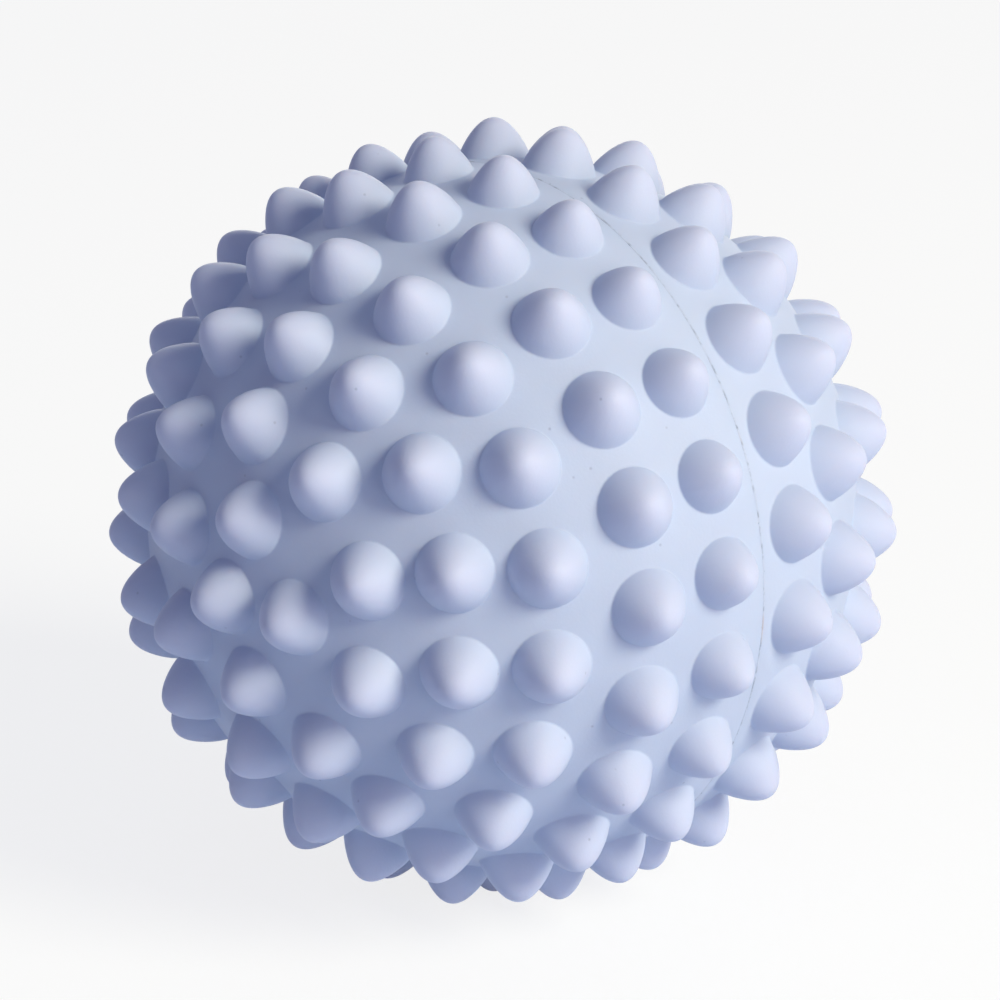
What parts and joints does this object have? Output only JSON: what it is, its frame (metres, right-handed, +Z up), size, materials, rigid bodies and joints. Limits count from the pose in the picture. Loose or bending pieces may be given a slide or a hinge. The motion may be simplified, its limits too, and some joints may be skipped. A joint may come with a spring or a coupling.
{
  "type": "sensory ball",
  "caption": "Hollow soft rubber ball covered in rings of blunt knobs, two halves bonded at a raised seam, with a pull-out air valve stopper; for gripping, rolling and squeezing.",
  "frame": {"origin": "centre of the ball", "axes": "mould axis along Y, with the front half's pole at -Y and the valve at +Y; the seam stands upright in the XZ plane; +Z up as the ball rests on its knobs"},
  "size_m": [0.0988, 0.0986, 0.0988],
  "materials": {
    "ball_rubber": "matte, soft lavender-blue moulded rubber",
    "seam_rubber": "matte, squeezed-out bond of the same rubber",
    "valve_vinyl": "milky soft vinyl"
  },
  "bodies": {
    "ball": {"front_half": "ball_rubber", "rear_half": "ball_rubber", "seam_bead": "seam_rubber", "valve_sleeve": "valve_vinyl"},
    "stopper": {"valve_stopper": "valve_vinyl"}
  },
  "joints": [
    {"name": "stopper_pull", "type": "slide", "parent": "ball", "child": "stopper", "axis": [0, 1, 0], "range_m": [0, 0.012]}
  ]
}
